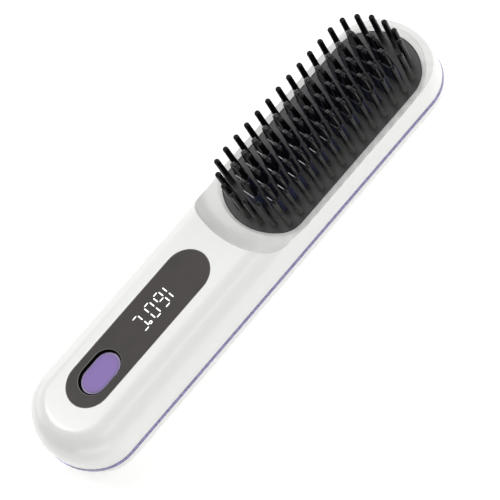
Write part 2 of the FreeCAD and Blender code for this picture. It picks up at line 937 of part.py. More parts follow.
def heater_clamp():
    """Pressed plate that holds the strips against the heater plate."""
    length = heater_length - 2 * clamp_end
    width = 2 * (heater_half - clamp_side)
    clamp = eased_block(heater_x, 0, length, width, clamp_bottom, mica_bottom, clamp_corner)
    for x, y in pair(heater_x, clamp_screw_spacing):
        clamp = clamp.cut(rod(x, y, clamp_bottom, mica_bottom, screw_radius + screw_hole_gap))
    return clamp


def heater_screws():
    """Screws up through the clamp into the heater plate."""
    return [
        screw(x, y, clamp_bottom, mica_bottom + screw_grip)
        for x, y in pair(heater_x, clamp_screw_spacing)
    ]


def temperature_sensor():
    """Sensor bead between the strips, flat against the heater plate."""
    start = FreeCAD.Vector(heater_x - sensor_length / 2, 0, heater_bottom - sensor_radius / 2)
    bead = lying(sensor_length, sensor_radius, start)
    above = heater_bottom + sensor_radius
    return bead.cut(
        block(heater_x, 0, sensor_length, 2 * sensor_radius, heater_bottom, above)
    )


def thermal_fuse():
    """Cut-out fuse that lies under the clamp."""
    start = FreeCAD.Vector(heater_x - fuse_length / 2, 0, clamp_bottom - fuse_radius)
    return lying(fuse_length, fuse_radius, start)


single_pieces = [
    front_shell,
    rear_shell,
    trim_band,
    control_panel,
    power_button,
    switch_body,
    switch_plunger,
    display_module,
    display_mask,
    main_board,
    heater_connector,
    battery_pack,
    battery_pad,
    charge_board,
    usb_socket,
    usb_tongue,
    face_plate,
    heater_plate,
    insulation_sheet,
    heater_clamp,
    temperature_sensor,
    thermal_fuse,
]
grouped_pieces = [
    board_screws,
    charge_screws,
    heater_screws,
    heater_leads,
    battery_leads,
    heating_elements,
    guard_pins,
    tooth_caps,
    heating_fins,
]

os.makedirs("parts", exist_ok=True)
for piece in single_pieces:
    export(piece.__name__, [piece()])
for group in grouped_pieces:
    export(group.__name__, group())
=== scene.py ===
# %% [markdown]
# # A cordless straightening brush
# The finished object is a white two-part handle with a smoked control panel, and a heated comb
# head. The engineering model of it was packed as a fixed frame, and everything made here stands in
# that frame. One Blender unit is one metre, so a value in millimetres is multiplied by `mm`.

# %% Load the frame
import math
import bmesh
import bpy
from mathutils import Matrix, Quaternion, Vector
from types import SimpleNamespace


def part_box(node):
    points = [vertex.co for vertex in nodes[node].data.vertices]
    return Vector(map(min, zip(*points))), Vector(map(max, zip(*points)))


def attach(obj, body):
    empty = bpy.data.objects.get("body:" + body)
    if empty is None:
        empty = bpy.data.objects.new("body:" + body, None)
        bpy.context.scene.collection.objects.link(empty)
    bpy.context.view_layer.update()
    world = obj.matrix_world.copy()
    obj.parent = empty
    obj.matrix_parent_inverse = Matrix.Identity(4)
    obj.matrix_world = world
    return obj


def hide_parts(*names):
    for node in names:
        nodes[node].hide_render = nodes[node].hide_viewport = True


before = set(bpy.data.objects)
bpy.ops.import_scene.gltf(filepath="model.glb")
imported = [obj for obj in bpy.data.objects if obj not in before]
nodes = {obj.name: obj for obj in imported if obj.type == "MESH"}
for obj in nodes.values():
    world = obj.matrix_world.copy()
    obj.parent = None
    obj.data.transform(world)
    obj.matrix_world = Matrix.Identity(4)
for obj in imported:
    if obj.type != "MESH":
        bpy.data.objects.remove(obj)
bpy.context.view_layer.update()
mm = 0.001

# %% [markdown]
# ## The camera
# The photograph looks down on the brush from the side of its near edge, turned so that the handle
# runs from the lower left to the upper right. A camera could be set by eye, but then each later
# comparison would be a little off. The place and the turn below come from fitting the outline of
# the plate, the panel and the pins. A long lens keeps the two ends at nearly the same scale.

# %% Camera
image_side = 500
focal_pixels = 1663.0
sensor_side = 36.0
camera_place = Vector((-68.15, -304.985, 482.659)) * mm
camera_turn = Quaternion((0.864734, 0.277931, 0.062964, -0.413552))
clip_near, clip_far = 10 * mm, 20.0


def add_object(name, data):
    """A new object in the scene, at the origin."""
    made = bpy.data.objects.new(name, data)
    bpy.context.scene.collection.objects.link(made)
    return made


camera_data = bpy.data.cameras.new("photo_camera")
camera_data.sensor_width = sensor_side
camera_data.lens = focal_pixels / image_side * sensor_side
camera_data.clip_start = clip_near
camera_data.clip_end = clip_far
camera = add_object("photo_camera", camera_data)
camera.rotation_mode = "QUATERNION"
camera.location = camera_place
camera.rotation_quaternion = camera_turn
bpy.context.scene.camera = camera
print("lens in mm:", round(camera_data.lens, 1))

# %% [markdown]
# ## Floor
# White goods are shot on a white sweep. More lamps could burn a grey floor out to white, but they
# would burn out the white handle too. So the floor is a pale sheet that keeps a faint contact
# shadow. To the camera, to a shiny surface and through a clear one it glows a little, and reads as
# the white of the page. For all other light it stays an ordinary pale sheet.

# %% Floor sheet
floor_half, floor_cells = 1.5, 8


def to_mesh(bm, name):
    """A mesh from a bmesh, which is freed."""
    mesh = bpy.data.meshes.new(name)
    bm.to_mesh(mesh)
    bm.free()
    return mesh


def to_piece(bm, name):
    """A new object at the origin from a bmesh, which is freed."""
    return add_object(name, to_mesh(bm, name))


sheet = bmesh.new()
bmesh.ops.create_grid(sheet, x_segments=floor_cells, y_segments=floor_cells, size=floor_half)
floor = to_piece(sheet, "floor")
print("floor faces:", len(floor.data.polygons))


# %% Helpers for a finish
def new_finish(name):
    """An empty node material with a Principled shader, returned with its tree and shader."""
    finish = bpy.data.materials.new(name)
    finish.use_nodes = True
    tree = finish.node_tree
    return finish, tree, tree.nodes["Principled BSDF"]


def tune(shader, values):
    """Set plain values on a shader's sockets."""
    for socket, value in values.items():
        shader.inputs[socket].default_value = value


def combine(tree, operation, first, second):
    """Two numbers put together by a math node; the second may be a plain number."""
    node = tree.nodes.new("ShaderNodeMath")
    node.operation = operation
    tree.links.new(first, node.inputs[0])
    if isinstance(second, float):
        node.inputs[1].default_value = second
    else:
        tree.links.new(second, node.inputs[1])
    return node.outputs[0]


print("helpers for a finish ready")

# %% Floor finish
floor_colour = (0.90, 0.90, 0.89, 1)
floor_page = 0.40
white = (1, 1, 1, 1)

floor_finish, tree, shader = new_finish("pale_sheet")
tune(shader, {"Base Color": floor_colour, "Roughness": 0.9, "Specular IOR Level": 0.1})
tune(shader, {"Emission Color": white})
rays = tree.nodes.new("ShaderNodeLightPath").outputs
seen = combine(tree, "MAXIMUM", rays["Is Camera Ray"], rays["Is Glossy Ray"])
seen = combine(tree, "MAXIMUM", seen, rays["Is Transmission Ray"])
glow = combine(tree, "MULTIPLY", seen, floor_page)
tree.links.new(glow, shader.inputs["Emission Strength"])
floor.data.materials.append(floor_finish)
print("finish:", floor_finish.name)

# %% [markdown]
# ## Room light
# The room is a soft glow from all sides, weaker on the side of the butt end, which gives the handle
# its grey end. One more lamp could light the other end, but it would cast a shadow of its own, and
# a glow that falls along X does not. To the camera alone, the room is the plain white of the page.

# %% Room light
room_colour = (1.0, 0.997, 0.985, 1)
room_left, room_right = 0.28, 0.58
page_strength = 1.0


def span(tree, value, start, end, low=0.0, high=1.0):
    """A number that runs from low to high while a value runs from start to end."""
    node = tree.nodes.new("ShaderNodeMapRange")
    node.inputs["From Min"].default_value = start
    node.inputs["From Max"].default_value = end
    node.inputs["To Min"].default_value = low
    node.inputs["To Max"].default_value = high
    tree.links.new(value, node.inputs["Value"])
    return node.outputs["Result"]


world = bpy.data.worlds.new("studio")
bpy.context.scene.world = world
world.use_nodes = True
tree = world.node_tree
room = tree.nodes["Background"]
room.inputs["Color"].default_value = room_colour
aim = tree.nodes.new("ShaderNodeTexCoord")
axes = tree.nodes.new("ShaderNodeSeparateXYZ")
tree.links.new(aim.outputs["Generated"], axes.inputs["Vector"])
fall = span(tree, axes.outputs["X"], -1.0, 1.0, room_left, room_right)
tree.links.new(fall, room.inputs["Strength"])
page = tree.nodes.new("ShaderNodeBackground")
page.inputs["Color"].default_value = white
page.inputs["Strength"].default_value = page_strength
pick = tree.nodes.new("ShaderNodeMixShader")
rays = tree.nodes.new("ShaderNodeLightPath").outputs
tree.links.new(rays["Is Camera Ray"], pick.inputs["Fac"])
tree.links.new(room.outputs["Background"], pick.inputs[1])
tree.links.new(page.outputs["Background"], pick.inputs[2])
tree.links.new(pick.outputs["Shader"], tree.nodes["World Output"].inputs["Surface"])
print("room strength:", room_left, "to", room_right)

# %% [markdown]
# ## Lamps
# One big lamp would light the brush evenly and hide its form, so each of six soft boxes has one
# job. The one overhead whitens the flat top of the handle, the low one behind lights the far
# shoulder, and the small one at the left draws thin lines on the lips of the caps. The strip in
# front makes the soft bump of light on the near shoulder, and the two low boxes light the near wall
# from the sides. The levels are such that white plastic stays just short of pure white.

# %% Lamps
lamps = {  # place, target, width and height in metres, then watts
    "back_box": ((0.32, 0.45, 0.85), (0.05, 0, 0), 0.92, 0.75, 2.7),
    "back_low": ((0.05, 1.00, 0.36), (0.05, 0, 0.02), 1.8, 0.5, 3.8),
    "left_box": ((-0.22, 0.45, 0.70), (0.04, 0, 0.02), 0.13, 0.11, 0.64),
    "front_strip": ((0.10, -0.52, 0.82), (0, 0, 0.01), 1.0, 0.16, 0.7),
    "low_left": ((-0.80, -0.62, 0.26), (0, 0, 0.01), 1.2, 0.44, 2.3),
    "low_right": ((0.88, -0.62, 0.26), (0, 0, 0.01), 1.2, 0.44, 4.8),
}


def soft_box(name, place, target, width, tall, watts):
    """A rectangular soft box at a place, turned to face a target."""
    data = bpy.data.lights.new(name, "AREA")
    data.shape = "RECTANGLE"
    data.size = width
    data.size_y = tall
    data.energy = watts
    lamp = add_object(name, data)
    lamp.location = place
    lamp.rotation_mode = "QUATERNION"
    lamp.rotation_quaternion = (Vector(target) - Vector(place)).to_track_quat("-Z", "Y")


for name, settings in lamps.items():
    soft_box(name, *settings)
bpy.context.scene.view_settings.view_transform = "Standard"
print("studio lamps:", len(lamps))

# %% [markdown]
# ## Carrying a node over
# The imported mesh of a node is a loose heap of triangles, so flat shading shows every facet. A shell
# could be modelled anew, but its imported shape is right. So a copy is merged at its seams, shaded
# smooth, and keeps a crease wherever two faces really meet at an edge. The Weighted Normal modifier
# lets the large flat faces decide the shading, as on a moulded surface.

# %% Merged copies
merge_gap = 0.002 * mm


def merged(node):
    """A CAD node's mesh as a bmesh with its seams closed."""
    bm = bmesh.new()
    bm.from_mesh(nodes[node].data)
    for layer in list(bm.loops.layers.uv):
        bm.loops.layers.uv.remove(layer)
    bmesh.ops.remove_doubles(bm, verts=bm.verts, dist=merge_gap)
    return bm


print("seams closed up to", merge_gap / mm, "mm")

# %% Smooth shading
crease_angle = math.radians(28)
flat_weight = 100


def smooth(piece, angle=crease_angle):
    """Shade smooth apart from real edges, with the flat faces leading."""
    mesh = piece.data
    if "custom_normal" in mesh.attributes:
        mesh.attributes.remove(mesh.attributes["custom_normal"])
    for face in mesh.polygons:
        face.use_smooth = True
    mesh.set_sharp_from_angle(angle=angle)
    even = piece.modifiers.new("even_normals", "WEIGHTED_NORMAL")
    even.keep_sharp = True
    even.weight = flat_weight
    return piece


def smooth_copy(node, name):
    """A merged, smooth-shaded copy of a CAD node."""
    return smooth(to_piece(merged(node), name))


print("creases kept from", round(math.degrees(crease_angle)), "degrees")


# %% Finish and body
def finish_piece(piece, finish, body, slot, *stands_for):
    """Give a piece its finish and its body, and hide the CAD nodes that it stands for; slot is not
    used.
    """
    piece.data.materials.append(finish)
    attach(piece, body)
    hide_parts(*stands_for)
    print(piece.name, "faces:", len(piece.data.polygons))


# %% [markdown]
# ## Cloudy finishes
# No moulded or coated surface is one flat colour. A painted picture could show that, but a noise
# pattern needs no picture, and its scale is in the real size: it lies on Object coordinates, so the
# scale counts features per metre. One cloud drives the colour between two shades and the roughness
# between two limits, and most finishes below start from that.

# %% Clouds
fine_detail, soft_detail = 3.0, 2.0


def noise(tree, scale, detail):
    """Cloudy variation on Object coordinates."""
    place = tree.nodes.new("ShaderNodeTexCoord")
    cloud = tree.nodes.new("ShaderNodeTexNoise")
    cloud.inputs["Scale"].default_value = scale
    cloud.inputs["Detail"].default_value = detail
    tree.links.new(place.outputs["Object"], cloud.inputs["Vector"])
    return cloud.outputs["Fac"]


print("detail of a fine and a soft cloud:", fine_detail, soft_detail)

# %% Colour and roughness from a cloud
shade_start, shade_end = 0.35, 0.65
cloud_start, cloud_end = 0.3, 0.7


def cloudy_colour(tree, cloud, shades):
    """A colour that runs between two shades with a cloud."""
    ramp = tree.nodes.new("ShaderNodeValToRGB")
    first, last = ramp.color_ramp.elements
    first.position, last.position = shade_start, shade_end
    first.color, last.color = [(*shade, 1) for shade in shades]
    tree.links.new(cloud, ramp.inputs["Fac"])
    return ramp.outputs["Color"]


def cloudy_roughness(tree, shader, cloud, limits):
    """Drive a shader's roughness between two limits with a cloud."""
    rough = span(tree, cloud, cloud_start, cloud_end, *limits)
    tree.links.new(rough, shader.inputs["Roughness"])


def cloudy_finish(name, scale, detail, shades, limits):
    """A finish whose colour and roughness follow one cloud, returned with its parts."""
    finish, tree, shader = new_finish(name)
    cloud = noise(tree, scale, detail)
    colour = cloudy_colour(tree, cloud, shades)
    tree.links.new(colour, shader.inputs["Base Color"])
    cloudy_roughness(tree, shader, cloud, limits)
    return SimpleNamespace(finish=finish, tree=tree, shader=shader, cloud=cloud, colour=colour)


print("a cloud drives shades from", shade_start, "to", shade_end)

# %% [markdown]
# ## Pearl white
# The two shells are injection moulded in white with a pearl additive, in a polished tool. A plain
# glossy white would look like glazed china. So the flakes show as a faint cloud in the colour, and
# the gloss comes from a thin clear coat over a slightly soft base.

# %% Housing finish
flake_scale = 2600.0
pearl_shades = (0.86, 0.862, 0.852), (0.875, 0.876, 0.865)
pearl_roughness = 0.30, 0.36

pearl = cloudy_finish("pearl_white", flake_scale, fine_detail, pearl_shades, pearl_roughness)
tune(pearl.shader, {"Specular IOR Level": 0.7, "Coat Weight": 0.7})
tune(pearl.shader, {"Coat IOR": 1.6, "Coat Roughness": 0.2})
print("finish:", pearl.finish.name)

# %% [markdown]
# ## Rim of the head
# Round the comb the upper shell ends in a narrow ring with a sharp crest, and along the straight
# sides of the head the crest stands almost over the wall. The shell could be built again for that,
# but only the points of its shoulder have to move. They are drawn out by most of the distance that
# the round of the shoulder takes them in. The draw fades in behind the step and fades out toward
# the head end, where the inner edge of the ring is drawn in a little instead, so that the ring
# looks equally wide all round.

# %% How far the rim is drawn out
crest_height = 18.8 * mm
shoulder_foot, shoulder_radius = 14.5 * mm, 9.5 * mm
rim_keep = 0.15
blend_start, blend_end = 10 * mm, 16 * mm
turn_start, turn_end = 70 * mm, 88 * mm


def share(x, start, end):
    """How far x has come from start to end, between 0 and 1."""
    return min(max((x - start) / (end - start), 0), 1)


def push(x, z):
    """How far the shoulder is drawn out at a place along the head and a height."""
    inset = shoulder_radius - math.sqrt(shoulder_radius ** 2 - (z - shoulder_foot) ** 2)
    fade = share(x, blend_start, blend_end) * (1 - share(x, turn_start, turn_end))
    return inset * (1 - rim_keep) * fade


print("most draw in mm:", round(push(blend_end, crest_height) / mm, 2))

# %% Which way is out
crest_slack = 0.01 * mm
head_axis_end = 74 * mm
wall_facing = 0.7  # least cosine between a face and the way out


def wall_direction(vert):
    """Level direction out of the shell at a point of its outer wall, or None anywhere else."""
    out = vert.co - Vector((min(vert.co.x, head_axis_end), 0, vert.co.z))
    total = Vector()
    for face in vert.link_faces:
        level = Vector((face.normal.x, face.normal.y, 0))
        if level.dot(out.normalized()) > wall_facing:
            total += level
    return total.normalized() if total.length else None


def at_crest(point):
    """Whether a point lies at the height of the crest."""
    return abs(point.z - crest_height) < crest_slack


print("the head's axis ends at", round(head_axis_end / mm), "mm")


# %% Points of the rim
def cut_across(bm, point, normal):
    """Cut new edges into a bmesh along a plane, and keep both sides."""
    geometry = bm.verts[:] + bm.edges[:] + bm.faces[:]
    bmesh.ops.bisect_plane(bm, geom=geometry, plane_co=point, plane_no=normal)


housing = merged("front_shell")
for x in (blend_start, blend_end, turn_start):
    cut_across(housing, (x, 0, 0), (1, 0, 0))
housing.normal_update()
head = [
    v
    for v in housing.verts
    if v.co.x > blend_start - crest_slack and shoulder_foot < v.co.z < crest_height + crest_slack
]
wall = {v: wall_direction(v) for v in head}
crest_line = [v for v in head if at_crest(v.co) and wall[v]]
print("points of the head's shoulder:", len(head), "on the crest line:", len(crest_line))

# %% Front shell
turn_draw = 0.6 * mm

moves = {}
for vert in head:
    if wall[vert]:
        moves[vert] = wall[vert] * push(vert.co.x, vert.co.z)
    elif at_crest(vert.co):
        nearest = min(crest_line, key=lambda other: (other.co - vert.co).length)
        drawn_in = turn_draw * share(vert.co.x, turn_start, turn_end)
        moves[vert] = wall[nearest] * (push(vert.co.x, vert.co.z) - drawn_in)
for vert, shift in moves.items():
    vert.co += shift

front = smooth(to_piece(housing, "front_housing"))
points = front.data.vertices
crest = [e for e in front.data.edges if all(at_crest(points[v].co) for v in e.vertices)]
for edge in crest:
    edge.use_edge_sharp = True
print("rim points moved:", len(moves), "crest edges:", len(crest))
finish_piece(front, pearl.finish, "body", "shell_white", "front_shell")

# %% [markdown]
# ## Rear shell
# The lower shell is the belly of the handle, in the same pearl white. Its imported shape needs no
# new form, so a smooth copy is enough.

# %% Rear shell
rear = smooth_copy("rear_shell", "rear_housing")
finish_piece(rear, pearl.finish, "body", "shell_white", "rear_shell")

# %% [markdown]
# ## Lilac trim band
# A ring of metallised lilac plastic sits in the parting line. It is only as tall as a coin, so its
# look is nearly all reflection. Full metal would show little but the light and dark of the room,
# so the finish is part metal under a shiny coat, and a cloudy grain varies it.

# %% Trim band
band_grain = 700.0
band_shades = (0.20, 0.18, 0.36), (0.24, 0.215, 0.41)
band_roughness = 0.22, 0.34

trim = cloudy_finish("trim_lilac", band_grain, soft_detail, band_shades, band_roughness)
tune(trim.shader, {"Metallic": 0.6, "Coat Weight": 0.3})
band = smooth_copy("trim_band", "trim_ring")
finish_piece(band, trim.finish, "body", "trim_lilac", "trim_band")

# %% [markdown]
# ## Smoked finish
# The panel is a strip of dark tinted plastic with a warm cast, polished on top, so it shows a weak
# image of the room. See-through plastic with a dark back would look much the same and render more
# slowly. Instead the finish changes with depth: the top skin has the tint, just under it a paler band
# is a painted highlight that shows as a fine line round the button's opening, and below that the
# opening is painted black as painted shade, and dull.


# %% Colours that change with height
def height(tree):
    """Height in the frame, from Object coordinates."""
    place = tree.nodes.new("ShaderNodeTexCoord")
    axes = tree.nodes.new("ShaderNodeSeparateXYZ")
    tree.links.new(place.outputs["Object"], axes.inputs["Vector"])
    return axes.outputs["Z"]


def blend(tree, factor, below, above):
    """A colour that is below where a factor is 0, and above where it is 1."""
    node = tree.nodes.new("ShaderNodeMix")
    node.data_type = "RGBA"
    for socket, colour in (("A", below), ("B", above)):
        if isinstance(colour, tuple):
            node.inputs[socket].default_value = (*colour, 1)
        else:
            tree.links.new(colour, node.inputs[socket])
    tree.links.new(factor, node.inputs["Factor"])
    return node.outputs["Result"]


print("helpers for height ready")

# %% Panel finish
panel_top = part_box("control_panel")[1].z
skin_depth, rim_highlight_depth = 0.03 * mm, 0.17 * mm
tint_scale, polish_scale = 60.0, 900.0
tint_shades = (0.037, 0.032, 0.030), (0.048, 0.039, 0.037)
# painted highlight for the band just under the skin, and painted shade for the pit below it
rim_highlight_colour, pit_shade_colour = (0.26, 0.25, 0.24), (0.002, 0.002, 0.002)
panel_roughness = 0.16, 0.24
panel_gloss = 0.3

panel_smoke, tree, shader = new_finish("panel_smoke")
tint = cloudy_colour(tree, noise(tree, tint_scale, soft_detail), tint_shades)
level = height(tree)
skin = span(tree, level, panel_top - 2 * skin_depth, panel_top - skin_depth)
# height masks for the painted highlight band and the painted-shade pit under the skin
rim_highlight_mask = span(tree, level, panel_top - rim_highlight_depth - skin_depth, panel_top - rim_highlight_depth)
highlight_and_shade = blend(tree, rim_highlight_mask, pit_shade_colour, rim_highlight_colour)
tree.links.new(blend(tree, skin, highlight_and_shade, tint), shader.inputs["Base Color"])
cloudy_roughness(tree, shader, noise(tree, polish_scale, fine_detail), panel_roughness)
gloss = combine(tree, "MULTIPLY", skin, panel_gloss)
tree.links.new(gloss, shader.inputs["Specular IOR Level"])
print("finish:", panel_smoke.name)

# %% [markdown]
# ## Control panel
# The panel lies flush with the handle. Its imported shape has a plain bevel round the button's
# opening and a square outer edge. A new panel could be modelled, but moving a few points does it:
# the opening is dished by spreading its upper edge and lowering the foot of its bevel, and the
# outer edge is eased with one narrow bevel.

# %% Control panel
edge_ease, edge_steps = 0.2 * mm, 1
dish_spread, dish_drop = 0.35 * mm, 0.3 * mm
upright_limit = 0.01  # most squared height of an upright face's normal
brim_angle = 1.0  # radians


def round_edges(bm, edges, offset, steps):
    """Round edges with the bevel operator."""
    bmesh.ops.bevel(
        bm, geom=edges, offset=offset, segments=steps, profile=0.5, affect="EDGES", material=-1
    )


lens = merged("control_panel")
top_verts = [v for v in lens.verts if v.co.z > panel_top - skin_depth]
outer = [v for v in top_verts if any(f.normal.z ** 2 < upright_limit for f in v.link_faces)]
dish = [v for v in top_verts if v not in outer]
dish_foot = [
    v
    for v in lens.verts
    if v not in top_verts and any(e.other_vert(v) in dish for e in v.link_edges)
]
dish_half = max(v.co.y for v in dish)
dish_start = min(v.co.x for v in dish) + dish_half
dish_end = max(v.co.x for v in dish) - dish_half
for vert in dish:
    near = Vector((min(max(vert.co.x, dish_start), dish_end), 0, vert.co.z))
    vert.co += (vert.co - near).normalized() * dish_spread
bmesh.ops.translate(lens, verts=dish_foot, vec=(0, 0, -dish_drop))
brim = [e for e in lens.edges if all(v in outer for v in e.verts) and len(e.link_faces) == 2]
brim = [e for e in brim if e.calc_face_angle() > brim_angle]
round_edges(lens, brim, edge_ease, edge_steps)
print("dish points:", len(dish), "brim edges:", len(brim))
panel = smooth(to_piece(lens, "smoked_panel"))
finish_piece(panel, panel_smoke, "body", "panel_smoke", "control_panel")

# %% [markdown]
# ## Power button
# A soft lilac button sits a little below the panel in a stadium opening and moves down when
# pressed. The top has a fine spark texture, as moulded soft-touch parts have, which is too fine to
# model and is made as relief. The bevel at its edge is painted paler, a painted highlight that shows
# as a thin line.

# %% Button
button_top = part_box("power_button")[1].z
button_spark = 2600.0
button_shades = (0.255, 0.163, 0.475), (0.275, 0.176, 0.505)
button_roughness = 0.42, 0.55
button_edge_highlight = (0.58, 0.48, 0.76)
button_relief, button_relief_depth = 0.25, 0.03 * mm


def relief(made, strength, depth):
    """Fine surface relief from a finish's own cloud; depth is in metres."""
    bump = made.tree.nodes.new("ShaderNodeBump")
    bump.inputs["Strength"].default_value = strength
    bump.inputs["Distance"].default_value = depth
    made.tree.links.new(made.cloud, bump.inputs["Height"])
    made.tree.links.new(bump.outputs["Normal"], made.shader.inputs["Normal"])


def fade_below(made, colour, start, end):
    """Turn a finish to another colour below start; its own colour is back at the height of end."""
    factor = span(made.tree, height(made.tree), start, end)
    faded = blend(made.tree, factor, colour, made.colour)
    made.tree.links.new(faded, made.shader.inputs["Base Color"])


lilac = cloudy_finish("button_lilac", button_spark, soft_detail, button_shades, button_roughness)
# painted highlight: the bevel below the top turns to a paler lilac
fade_below(lilac, button_edge_highlight, button_top - 2 * skin_depth, button_top - skin_depth)
relief(lilac, button_relief, button_relief_depth)
button = smooth_copy("power_button", "lilac_button")
finish_piece(button, lilac.finish, "button", "button_lilac", "power_button")

# %% [markdown]
# ## Display bars
# The display shows the working temperature in seven-segment digits. They could be set in a font,
# but bars are what the real display has. Each lit bar is a little tile: a cube is stretched, and
# its two ends are drawn out to blunt points. A table says which bars each digit lights. The tiles
# lie in the skin of the panel, where the light comes out of the smoked plastic.

# %% One bar
bar_width = 0.48 * mm
bar_gap = 0.9 * mm
bar_point = 0.45
tile_rise, tile_depth = 0.02 * mm, 0.2 * mm
tile_middle = panel_top + tile_rise - tile_depth / 2
end_facing = 0.9  # least cosine between an end face and its axis


def grown_points(grown):
    """The points that an extrusion made."""
    return [g for g in grown["geom"] if isinstance(g, bmesh.types.BMVert)]


def bar(bm, start, end):
    """One lit bar between two points of the panel's plane, with pointed ends."""
    run = end - start
    verts = bmesh.ops.create_cube(bm, size=1.0)["verts"]
    straight = run.length - bar_gap - bar_width
    bmesh.ops.scale(bm, verts=verts, vec=(straight, bar_width, tile_depth))
    for side in (1, -1):
        faces = {f for v in verts for f in v.link_faces}
        ends = [f for f in faces if f.normal.x * side > end_facing]
        tips = grown_points(bmesh.ops.extrude_face_region(bm, geom=ends))
        bmesh.ops.delete(bm, geom=ends, context="FACES")
        bmesh.ops.translate(bm, verts=tips, vec=(side * bar_width / 2, 0, 0))
        bmesh.ops.scale(bm, verts=tips, vec=(1, bar_point, 1))
        verts = verts + tips
    middle = (start + end) / 2
    turn = Matrix.Rotation(math.atan2(run.y, run.x), 4, "Z")
    place = Matrix.Translation((middle.x, middle.y, tile_middle))
    bmesh.ops.transform(bm, verts=verts, matrix=place @ turn)


print("a bar's width and depth in mm:", bar_width / mm, tile_depth / mm)

# %% Digits
digit_height, digit_width = 6.5 * mm, 2.7 * mm
digit_shift = 0.24 * mm
bar_ends = {  # column and row of each bar's two ends
    "a": ((-1, 1), (1, 1)),
    "b": ((1, 1), (1, 0)),
    "c": ((1, 0), (1, -1)),
    "d": ((-1, -1), (1, -1)),
    "e": ((-1, 0), (-1, -1)),
    "f": ((-1, 1), (-1, 0)),
    "g": ((-1, 0), (1, 0)),
}
lit_bars = {"1": "bc", "6": "acdefg", "0": "abcdef", "C": "adef"}
digit_places = {"1": -28.3 * mm, "6": -32.9 * mm, "0": -37.45 * mm, "C": -43.35 * mm}


def digit(bm, lit, x):
    """A digit that reads along -X with its top toward -Y, centred at x."""
    for name in lit:
        ends = [
            Vector((x - column * digit_width / 2, digit_shift - row * digit_height / 2, 0))
            for column, row in bar_ends[name]
        ]
        bar(bm, *ends)


tiles = bmesh.new()
for glyph, x in digit_places.items():
    digit(tiles, lit_bars[glyph], x)
print("lit bars:", sum(len(lit_bars[glyph]) for glyph in digit_places))

# %% [markdown]
# ## Degree ring
# The small ring between the digits and the letter could be a torus, but it is as flat as the bars.
# So two circles are bridged and given the same depth. All the tiles are one piece, in a white that
# glows a little.

# %% Degree ring and display finish
ring_x, ring_y = -40.95 * mm, -2.4 * mm
ring_outer, ring_inner, ring_steps = 0.68 * mm, 0.30 * mm, 20
flicker_scale = 1500.0
display_shades = (0.92, 0.93, 0.94), (1.0, 1.0, 1.0)


def circle(bm, radius):
    """Points and edges of a circle."""
    made = bmesh.ops.create_circle(bm, cap_ends=False, segments=ring_steps, radius=radius)
    return made["verts"], list({e for v in made["verts"] for e in v.link_edges})


outer_verts, outer_edges = circle(tiles, ring_outer)
inner_verts, inner_edges = circle(tiles, ring_inner)
flat = bmesh.ops.bridge_loops(tiles, edges=outer_edges + inner_edges)
ring_top = grown_points(bmesh.ops.extrude_face_region(tiles, geom=flat["faces"]))
ring_foot = outer_verts + inner_verts
bmesh.ops.translate(tiles, verts=ring_top, vec=(0, 0, tile_depth / 2))
bmesh.ops.translate(tiles, verts=ring_foot, vec=(0, 0, -tile_depth / 2))
bmesh.ops.translate(tiles, verts=ring_foot + ring_top, vec=(ring_x, ring_y, tile_middle))
bmesh.ops.recalc_face_normals(tiles, faces=tiles.faces)

display_white, tree, shader = new_finish("display_white")
lit_white = cloudy_colour(tree, noise(tree, flicker_scale, soft_detail), display_shades)
for socket in ("Base Color", "Emission Color"):
    tree.links.new(lit_white, shader.inputs[socket])
tune(shader, {"Emission Strength": 0.6, "Roughness": 0.4})
finish_piece(to_piece(tiles, "display_segments"), display_white, "body", "display_white")

# %% [markdown]
# ## Face plate
# The plate under the comb is dark plastic with a fine spark-eroded texture, so it is duller than
# the pins that stand on it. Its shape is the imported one, slots and all, and the texture is relief.

# %% Face plate
plate_spark = 2200.0
plate_shades = (0.046, 0.046, 0.047), (0.058, 0.057, 0.057)
plate_roughness = 0.34, 0.42
plate_relief, plate_relief_depth = 0.1, 0.02 * mm

dark = cloudy_finish("plate_dark", plate_spark, fine_detail, plate_shades, plate_roughness)
relief(dark, plate_relief, plate_relief_depth)
plate = smooth_copy("face_plate", "comb_plate")
finish_piece(plate, dark.finish, "body", "plate_dark", "face_plate")

# %% [markdown]
# ## Black of the pins
# The pins are polished black. Toward its foot a pin is painted paler, a painted sheen that stands
# in for the light it catches there. Each pin could be painted on its own, but height says enough:
# the colour runs from grey at the plate to full black at half the height of a pin.

# %% Pin finish
comb_grain = 900.0
pin_shades = (0.003, 0.003, 0.004), (0.006, 0.006, 0.007)
pin_roughness = 0.14, 0.20
pin_foot_sheen_colour = (0.09, 0.09, 0.083)
pin_sheen_height = 8.0 * mm
plate_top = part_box("face_plate")[1].z

comb = cloudy_finish("comb_black", comb_grain, soft_detail, pin_shades, pin_roughness)
# painted sheen: pale grey at the plate, fading to black higher up the pin
fade_below(comb, pin_foot_sheen_colour, plate_top, plate_top + pin_sheen_height)
tune(comb.shader, {"Specular IOR Level": 0.22})
print("finish:", comb.finish.name)

# %% [markdown]
# ## Guard pins
# A ring of thin pins keeps the hot fins off the skin. Each is slightly tapered and has a round tip.
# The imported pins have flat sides, and smooth shading alone would not make their outline round.
# A pin is a turned shape, so its half outline is spun once and the result is copied to each place
# that a packed pin stands in.

# %% Where the solids stand
sort_digits = 5  # of a place in metres


def islands(node):
    """Lowest and highest corner of each separate solid in a CAD node."""
    bm = merged(node)
    left = set(bm.verts)
    found = []
    while left:
        todo = [left.pop()]
        group = list(todo)
        while todo:
            for edge in todo.pop().link_edges:
                for vert in edge.verts:
                    if vert in left:
                        left.remove(vert)
                        todo.append(vert)
                        group.append(vert)
        low = Vector(min(v.co[i] for v in group) for i in range(3))
        high = Vector(max(v.co[i] for v in group) for i in range(3))
        found.append((low, high))
    bm.free()
    return sorted(found, key=lambda box: [round(box[0][i], sort_digits) for i in range(2)])


